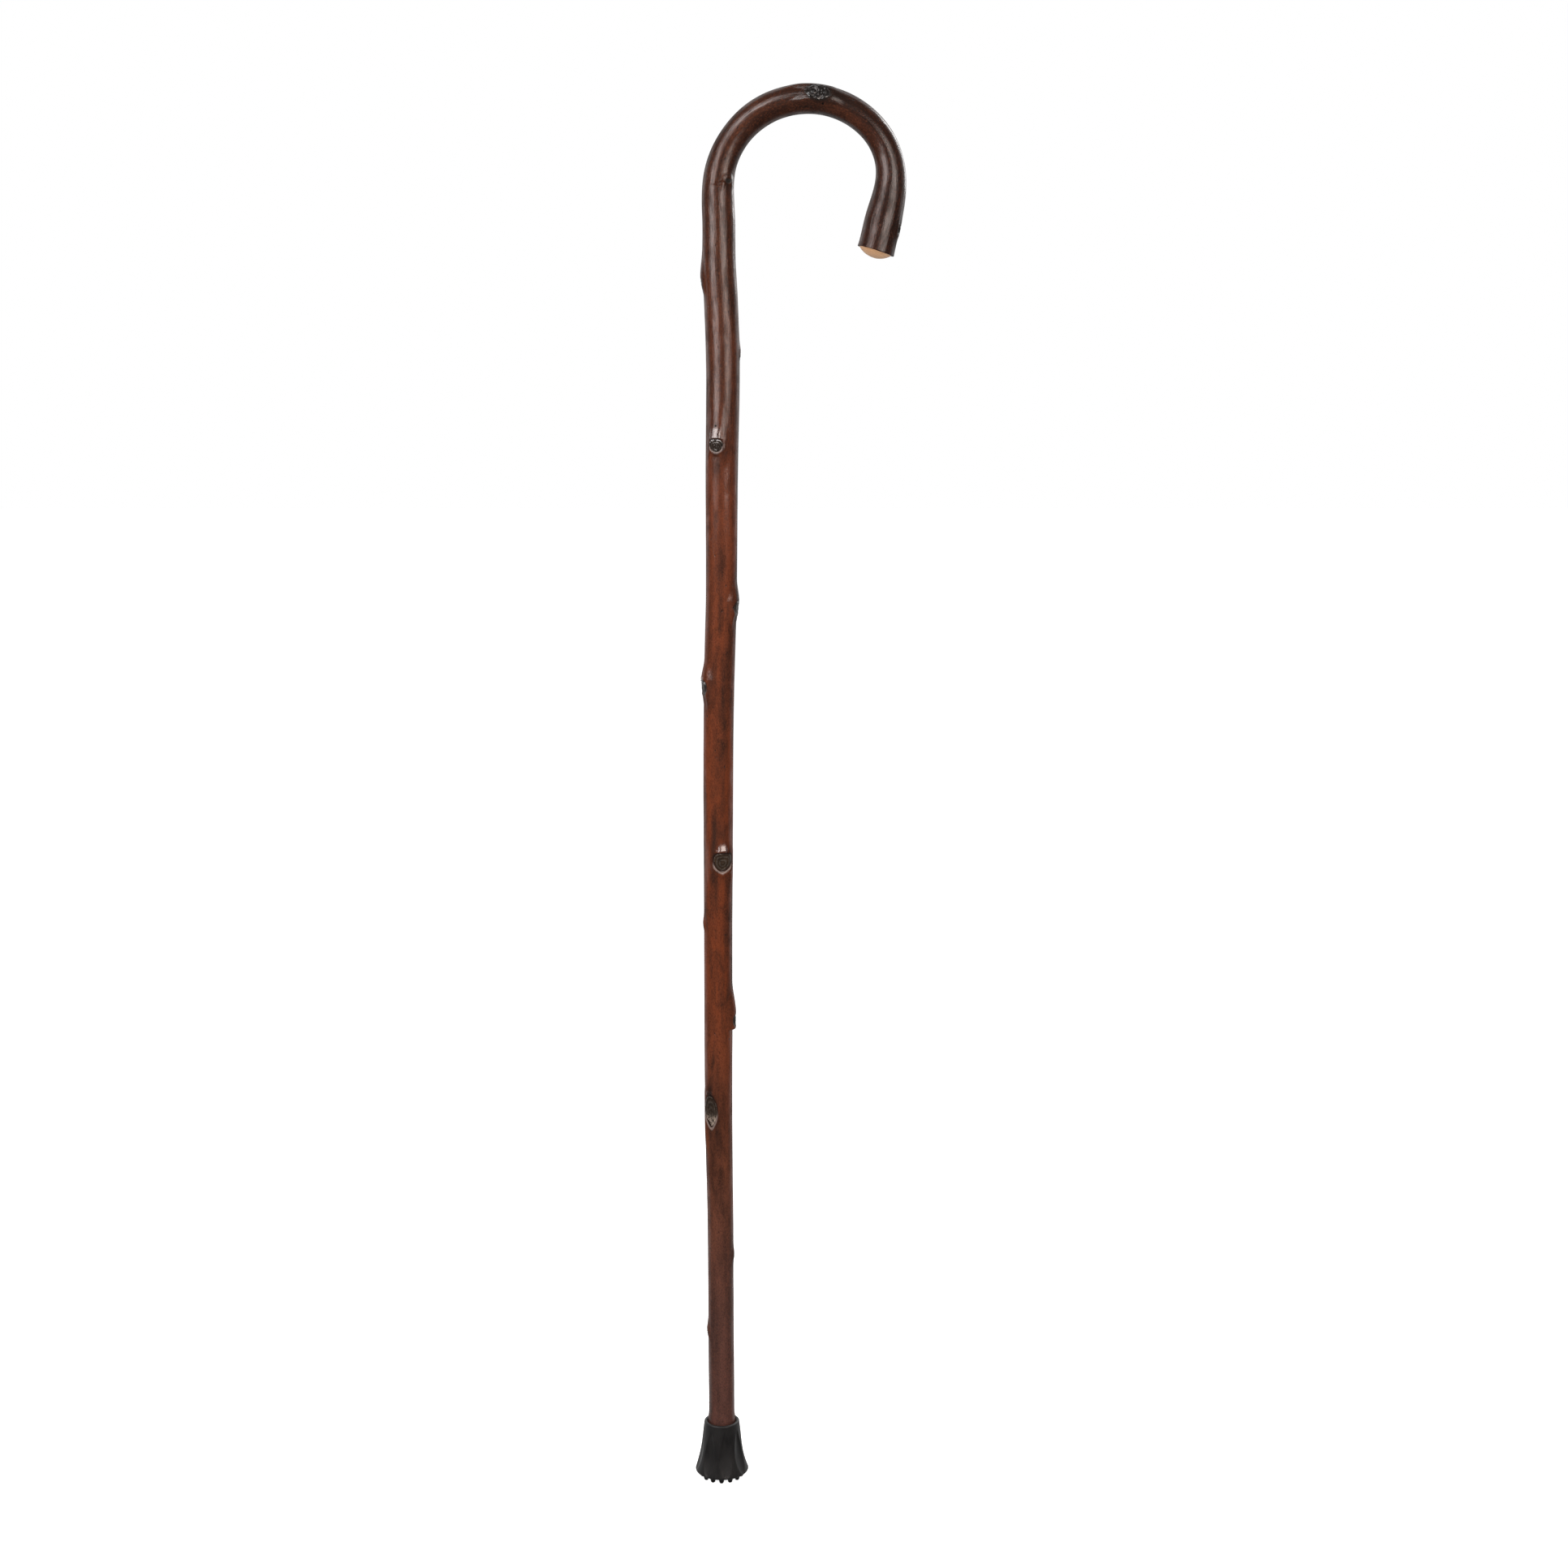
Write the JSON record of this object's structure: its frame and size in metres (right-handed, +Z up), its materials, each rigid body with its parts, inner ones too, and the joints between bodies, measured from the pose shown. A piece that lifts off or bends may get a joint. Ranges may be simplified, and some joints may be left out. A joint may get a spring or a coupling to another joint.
{
  "type": "crook-handled walking stick",
  "caption": "Crook-handled walking stick, one bent bark-on stem with pruned knots, on a push-on fluted rubber ferrule.",
  "frame": {"origin": "centre of the ferrule's tread, on the floor", "axes": "+Z up the stem, +X from the stem to the crook's nose, +Y away from the viewer of the front, square to the crook's plane"},
  "size_m": [0.1352, 0.0356, 0.9099],
  "materials": {
    "bare_wood": "sanded chestnut under a thin clear varnish",
    "stained_bark": "smooth chestnut bark, dark brown stain, semi-gloss varnish",
    "dark_knots": "pruned branch wood, nearly black under the stain, glossy",
    "black_rubber": "moulded rubber, soft matte sheen",
    "plated_steel": "zinc-plated, dull"
  },
  "bodies": {
    "stick": {"wood_core": "bare_wood", "bark": "stained_bark", "branch_stubs": "dark_knots"},
    "washer": {"ferrule_washer": "plated_steel"},
    "ferrule": {"rubber_ferrule": "black_rubber"}
  },
  "joints": [
    {"name": "ferrule_pull", "type": "slide", "parent": "stick", "child": "washer", "axis": [0, 0, -1], "range_m": [0, 0.045]},
    {"name": "ferrule_twist", "type": "hinge", "parent": "washer", "child": "ferrule", "pos_m": [0, 0, 0.01], "axis": [0, 0, 1], "continuous": true}
  ]
}
